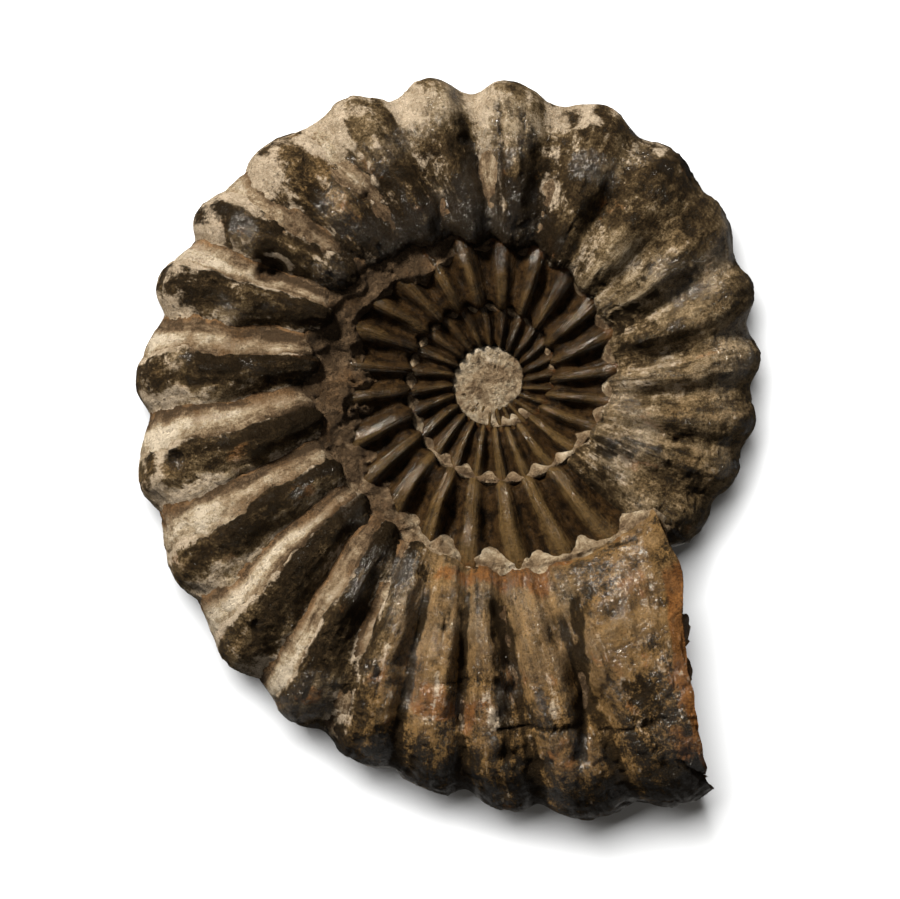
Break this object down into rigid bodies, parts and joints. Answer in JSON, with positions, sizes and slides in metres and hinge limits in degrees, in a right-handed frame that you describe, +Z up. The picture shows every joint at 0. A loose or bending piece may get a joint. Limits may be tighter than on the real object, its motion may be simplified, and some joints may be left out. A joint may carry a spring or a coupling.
{
  "type": "fossil ammonite",
  "caption": "Coiled ribbed shell turned to stone, lying on its flank, with sediment in its centre and a broken mouth.",
  "frame": {"origin": "middle of the outline, on the surface the fossil lies on", "axes": "+Z up through the upper flank, +Y away from the mouth's end of the coil, +X towards the side the mouth opens to"},
  "size_m": [0.0622, 0.0737, 0.021],
  "materials": {
    "fossil_stone": "dark brown shell over tan sediment, dull to half gloss, glossy on the inner turns"
  },
  "bodies": {
    "root": {"ammonite": "fossil_stone"}
  },
  "joints": []
}
